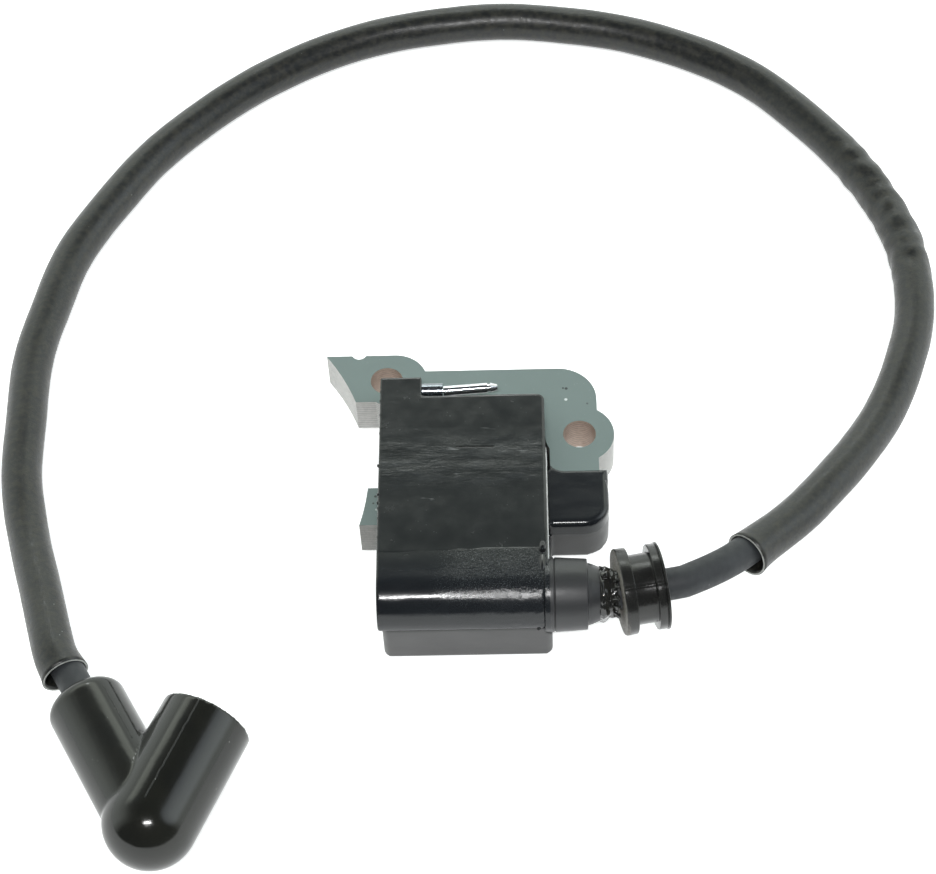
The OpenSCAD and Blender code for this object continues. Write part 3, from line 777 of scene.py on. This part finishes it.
def make_boot():
    elbow = remeshed(copy_of("plug_boot", "plug_boot_elbow"), 0.25, 6)
    settle(elbow, "boot", "boot_rubber", LOOKS["boot_rubber"], "plug_boot")
    lines = merged("boot_parting_lines", [
        parting_line(SOCKET_ARM, 0.5, 17.6, 0.0, SOCKET_R - 0.06, 0.13),
        parting_line(LEAD_ARM, 11, 21.5, 0.52, LEAD_ARM_R - 0.08, 0.12),
    ])
    settle(lines, "boot", "boot_rubber", LOOKS["boot_rubber"])
    return elbow, lines


def make_spring():
    side = SOCKET_ARM.cross(Z_AXIS).normalized()
    up = side.cross(SOCKET_ARM)
    points = []
    for k in range(SPRING_TURNS * 28 + 1):
        share = k / (SPRING_TURNS * 28)
        turn = 2 * math.pi * SPRING_TURNS * share
        along = 7.8 - 5.2 * share
        ring = side * math.cos(turn) + up * math.sin(turn)
        points.append(ELBOW + (SOCKET_ARM * along + ring * SPRING_R) * MM)
    points += [on_lead_arm(3.6), on_lead_arm(7.2)]
    piece = make_piece("boot_contact_spring", *skin(tube_rings(points, 12, lambda s, a: SPRING_WIRE_R * MM)))
    return settle(piece, "boot", "spring_steel", LOOKS["spring_steel"], "boot_spring")


# ---------------------------------------------------------------- case, resin, tower and grommet
COVER_R = 4
COVER_FILLET = 1.0
upper_low, upper_high = (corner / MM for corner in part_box("case_upper"))
lower_low, lower_high = (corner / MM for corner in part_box("case_lower"))
COVER_FRONT, COVER_BACK = -8.6, 1.7
BAY_RIGHT = -7.35
CASE_BACK = 14
RESIN_FRONT = -15.8
CORNER = 1.3
EDGE_BEVEL = 0.12
TOWER_AXIS = Vector((0, TOWER_MOUTH.y, TOWER_MOUTH.z))


def make_upper_shell():
    def relief(place, normal):
        ripple = ease(place.x, 0, 8) * ease(place.y, -18, -21)
        depth = 0.035 * rough(place, 3.5) + 0.03 * ripple * rough(place, 0.7, 5)
        return normal * depth

    piece = pushed(remeshed(copy_of("case_upper", "case_upper_shell"), 0.25, 3), relief)
    return settle(piece, "module", "case_plastic", LOOKS["case_plastic"], "case_upper")


def make_resin_skin():
    """The resin that was poured over the rim: a thin film with soft edges, dents and burrs."""
    bottom, top = upper_high.z - 0.4, upper_high.z + 0.05
    right, back = upper_high.x - 0.15, CASE_BACK - 0.05
    spans = [
        ((upper_low.x + 0.02, RESIN_FRONT, bottom), (right, back, top)),
        ((upper_low.x + 0.02, CASE_BACK - 1, bottom), (BAY_RIGHT, upper_high.y - 0.05, top)),
    ]
    corner = Vector((right - CORNER, back - CORNER, 0))

    def relief(place, normal):
        shift = Vector((0, 0, 0))
        arm = Vector((place.x - corner.x, place.y - corner.y, 0))
        if arm.x > 0 and arm.y > 0 and arm.length > CORNER:
            shift = arm.normalized() * (CORNER - arm.length)
        if normal.z > 0.3:
            shift.z -= 0.05 * ease(place.y, RESIN_FRONT + 5, RESIN_FRONT + 0.8)
            wave = rough(Vector((place.x * 0.35, place.y, 0)), 2.2, 2)
            band = ease(place.y, -4, 0) * ease(place.y, 7, 4)
            shift.z += 0.04 * rough(place, 6) + 0.05 * wave * band + 0.006 * rough(place, 1.2, 4)
        if place.x < upper_low.x + 0.5:
            burr = max(0, rough(Vector((0, place.y, 0)), 0.9, 7) - 0.15) * 0.55
            shift.x -= burr
        return shift

    piece = pushed(remeshed(boxes("resin_skin", spans), 0.2, 5), relief)
    return settle(piece, "module", "resin", LOOKS["resin"])


def make_lower_shell():
    """The lower case with the large top fillet that the core cover has."""

    def fillet(place, normal):
        if place.x < upper_high.x + 0.7 or place.z < lower_high.z - 2:
            return Vector((0, 0, 0))
        centre = Vector((lower_high.x - COVER_R, COVER_FRONT + COVER_R, 0))
        arm = Vector((place.x - centre.x, place.y - centre.y, 0))
        radius = COVER_FILLET
        if arm.x > 0 and arm.y < 0:
            inside, out = COVER_R - arm.length, arm.normalized()
        else:
            sides = [
                (lower_high.x - place.x, Vector((1, 0, 0)), COVER_FILLET),
                (place.y - COVER_FRONT, Vector((0, -1, 0)), COVER_FILLET),
            ]
            if place.x > lower_high.x - 7:
                sides.append((COVER_BACK - place.y, Vector((0, 1, 0)), 0.45))
            inside, out, radius = min(sides, key=lambda side: side[0])
        under = lower_high.z - place.z
        reach = math.hypot(radius - inside, radius - under)
        if inside > radius or under > radius or reach <= radius:
            return Vector((0, 0, 0))
        scale = radius / reach
        new_inside = radius - (radius - inside) * scale
        new_under = radius - (radius - under) * scale
        return out * (inside - new_inside) + Vector((0, 0, under - new_under))

    piece = pushed(remeshed(copy_of("case_lower", "case_lower_shell"), 0.25, 2), fillet)
    return settle(piece, "module", "case_plastic", LOOKS["case_plastic"], "case_lower")


def make_tower():
    profile = rounded_profile(
        [
            (0, LEAD_HOLE_R), (0, 0.5), (-1, 0.5), (-1, 4.4), (11.5, 4.4), (11.5, 5.7), (12.85, 5.72),
            (12.9, 5.5), (13.02, 5.5), (13.07, 5.68), (17.95, 5.4), (18, 4.75), (18.6, 4.6),
            (20.2, 3.95), (20.2, LEAD_HOLE_R), (0, LEAD_HOLE_R),
        ],
        0.12,
    )

    def wobble(along, angle):
        return 0.03 * noise.noise(Vector((along * 0.8, math.cos(angle) * 3, math.sin(angle) * 3)))

    piece = lathe("lead_tower_shell", profile, TOWER_AXIS, X_AXIS, 128, wobble)
    return settle(piece, "module", "case_plastic", LOOKS["case_plastic"], "lead_tower")


def make_adhesive():
    """A ragged bead of glue round the lead, with strings that reach the grommet."""
    profile = rounded_profile(
        [
            (19.7, LEAD_HOLE_R), (19.6, 4.1), (20.2, 4.3), (20.8, 4.15), (21.3, 3.7), (21.7, 3.75),
            (22.2, 3.5), (22.5, 3.7), (22.6, 2.6), (22.5, LEAD_HOLE_R), (19.7, LEAD_HOLE_R),
        ],
        0.3,
    )

    def ragged(along, angle):
        if along < 19.75:
            return 0
        around = Vector((along * 1.1, math.cos(angle) * 2.2, math.sin(angle) * 2.2))
        return 0.3 * noise.noise(around) + 0.12 * noise.noise(around * 2.7)

    bead = lathe("tower_adhesive_bead", profile, TOWER_AXIS, X_AXIS, 128, ragged)
    settle(bead, "module", "adhesive", LOOKS["adhesive"], "tower_adhesive")
    parts = []
    for k in range(7):
        angle = -0.3 + 0.36 * k
        reach = 3.5 + 0.5 * noise.noise(Vector((k * 1.7, 2, 5)))
        out = Vector((0, -math.sin(angle), math.cos(angle)))
        start = TOWER_AXIS + Vector((21.2, 0, 0)) * MM + out * reach * MM
        end = after_tower(GROMMET_GAP) + out * (reach + 0.3 + 0.35 * (k % 3)) * MM
        middle = start.lerp(end, 0.5) - out * 0.15 * MM
        thick = 0.12 + 0.06 * (k % 4)
        route = smooth_route([start, middle, end], 0.1 * MM)
        parts.append(skin(tube_rings(route, 10, lambda s, a, t=thick: t * (1.7 - 2.4 * s * (1 - s)) * MM)))
        parts.append(drop(tuple(end / MM), (0.2, 0.22 + 0.08 * (k % 3), 0.28), k))
    parts.append(drop((20.6, TOWER_MOUTH.y / MM + 0.6, 14.3), (0.75, 0.7, 0.5), 3))
    strings = merged("tower_adhesive_strings", parts)
    settle(strings, "module", "adhesive", LOOKS["adhesive"])


def make_edge_highlight():
    """A thin pale line along the case's right edge: a painted highlight on that edge."""
    start, end = 3.6, -17.2
    points = []
    for k in range(91):
        y = start + (end - start) * k / 90
        x = upper_high.x + 0.06 + 0.03 * noise.noise(Vector((y * 0.8, 1, 4)))
        points.append(Vector((x, y, upper_high.z - 0.3)) * MM)

    def thickness(share, angle):
        return (0.13 + 0.03 * noise.noise(Vector((share * 30, 2, 2)))) * min(1, 12 * share + 0.2) * MM

    piece = make_piece("case_edge_painted_highlight", *skin(tube_rings(points, 8, thickness)))
    settle(piece, "module", "case_plastic", edge_highlight_look())


def make_resin_drops():
    right = upper_high.x
    spots = [
        ((right - 0.75, -15.2, 15.6), (0.6, 1.0, 0.55)),
        ((right - 0.9, -18, 15.35), (0.55, 1.9, 0.45)),
        ((right - 0.9, -23.6, 13.9), (0.45, 0.5, 0.35)),
        ((right - 0.6, -25.6, 9.3), (0.5, 0.4, 0.45)),
        ((right - 1.6, -25.75, 9.1), (0.3, 0.25, 0.3)),
        ((upper_low.x + 0.1, -4.9, 15.5), (0.25, 0.3, 0.2)),
        ((upper_low.x + 0.05, -6.4, 15.45), (0.2, 0.35, 0.2)),
        ((upper_low.x, 0.6, 15.4), (0.22, 0.3, 0.25)),
    ]
    parts = [drop(centre, radii, seed) for seed, (centre, radii) in enumerate(spots)]
    settle(merged("resin_drops", parts), "module", "resin", drop_look())


def make_grommet():
    profile = rounded_profile(
        [
            (0.1, 2.6), (0, 6.5), (0.25, 6.7), (1.9, 6.65), (1.9, 5.4), (5.1, 5.4), (5.1, 6.6),
            (6.25, 6.6), (6.3, 6.42), (6.42, 6.42), (6.47, 6.78), (6.8, 6.75), (6.8, 2.6), (0.1, 2.6),
        ],
        0.16,
    )
    seam_angle = math.radians(61)

    def wobble(along, angle):
        away = abs((angle - seam_angle + math.pi) % (2 * math.pi) - math.pi)
        ridge = 0.12 * math.exp(-((away / 0.022) ** 2))
        around = Vector((along, math.cos(angle) * 4, math.sin(angle) * 4))
        return ridge + 0.05 * noise.noise(around)

    piece = lathe("grommet_spool", profile, after_tower(GROMMET_GAP), GROMMET_AXIS, 240, wobble)
    return settle(piece, "grommet", "grommet_rubber", LOOKS["grommet_rubber"], "lead_grommet")


# ---------------------------------------------------------------- everything else keeps its CAD shape
def finish_cad_nodes():
    for entry in record["subparts"]:
        node = nodes[entry["node"]]
        if node.hide_render:
            continue
        node.data.materials.clear()
        node.data.materials.append(NODE_LOOKS.get(entry["node"], LOOKS[entry["material_slot"]]))
        bevel = node.modifiers.new("edges", "BEVEL")
        bevel.width = EDGE_BEVEL * MM
        bevel.segments = 2
        bevel.limit_method = "ANGLE"


def make_floor():
    size = 3
    corners = [(-size, -size, 0), (size, -size, 0), (size, size, 0), (-size, size, 0)]
    floor = make_piece("floor", corners, [(0, 1, 2, 3)])
    look = Look("floor", (0.9, 0.9, 0.9), Roughness=0.9)
    look.shader.inputs["Emission Color"].default_value = (0.98, 1, 1, 1)
    look.shader.inputs["Emission Strength"].default_value = 0.65
    floor.data.materials.append(look.material)


# The sine of the elevation, and the studio's light there: pale walls under a dark ceiling.
WALL_STEPS = [
    (0.0, (1.45, 1.55, 1.5)),
    (0.34, (1.4, 1.5, 1.42)),
    (0.6, (0.95, 1.02, 0.96)),
    (0.74, (0.4, 0.43, 0.42)),
    (0.84, (0.17, 0.18, 0.19)),
    (0.95, (0.07, 0.075, 0.08)),
]
BACKDROP = (0.97, 0.99, 0.99)
BACK_STRIP = (1.5, 1.6, 1.4)
DARK_FRONT = (0.09, 0.095, 0.1)
# Each bright patch's direction, the cosines at its edge and where it is full, and its colour
PATCHES = [
    ((0.81, 0.0, 0.586), 0.9, 0.97, (0.95, 1.05, 1.15)),
    ((-0.03, 0.77, 0.637), 0.9975, 0.999, (9, 9.4, 9.6)),
]


def make_world():
    """Light from all round for the gloss; the camera itself sees a plain pale backdrop."""
    world = bpy.data.worlds.new("studio")
    scene.world = world
    world.use_nodes = True
    sky = Nodes(world.node_tree)
    background = sky.tree.nodes["Background"]
    place = sky.add("ShaderNodeTexCoord").outputs["Generated"]
    split = sky.add("ShaderNodeSeparateXYZ", {"Vector": place})
    height, depth = split.outputs["Z"], split.outputs["Y"]
    ramp = sky.add("ShaderNodeValToRGB", {0: height})
    steps = ramp.color_ramp.elements
    steps[0].position, steps[0].color = WALL_STEPS[0][0], (*WALL_STEPS[0][1], 1)
    steps[1].position, steps[1].color = WALL_STEPS[-1][0], (*WALL_STEPS[-1][1], 1)
    for level, colour in WALL_STEPS[1:-1]:
        steps.new(level).color = (*colour, 1)
    front = sky.range(depth, -0.05, -0.4)
    light = sky.mix(front, ramp.outputs[0], DARK_FRONT)
    above, below = sky.range(height, 0.5, 0.57), sky.range(height, 0.76, 0.7)
    strip = sky.times(above, below, sky.range(depth, 0.3, 0.6))
    light = sky.mix(strip, light, BACK_STRIP, "ADD")
    for direction, edge, full, colour in PATCHES:
        inputs = {0: place, 1: Vector(direction)}
        facing = sky.add("ShaderNodeVectorMath", inputs, operation="DOT_PRODUCT").outputs["Value"]
        light = sky.mix(sky.range(facing, edge, full), light, colour, "ADD")
    seen = sky.add("ShaderNodeLightPath").outputs["Is Camera Ray"]
    sky.tree.links.new(sky.mix(seen, light, BACKDROP), background.inputs[0])


lead = make_lead()
sleeve, sleeve_rims = make_sleeve()
boot, boot_lines = make_boot()
spring = make_spring()
grommet = make_grommet()
make_upper_shell()
make_resin_skin()
make_lower_shell()
make_tower()
make_adhesive()
make_resin_drops()
make_edge_highlight()
finish_cad_nodes()
make_floor()
make_world()
make_lights()
scene.view_settings.view_transform = "Standard"
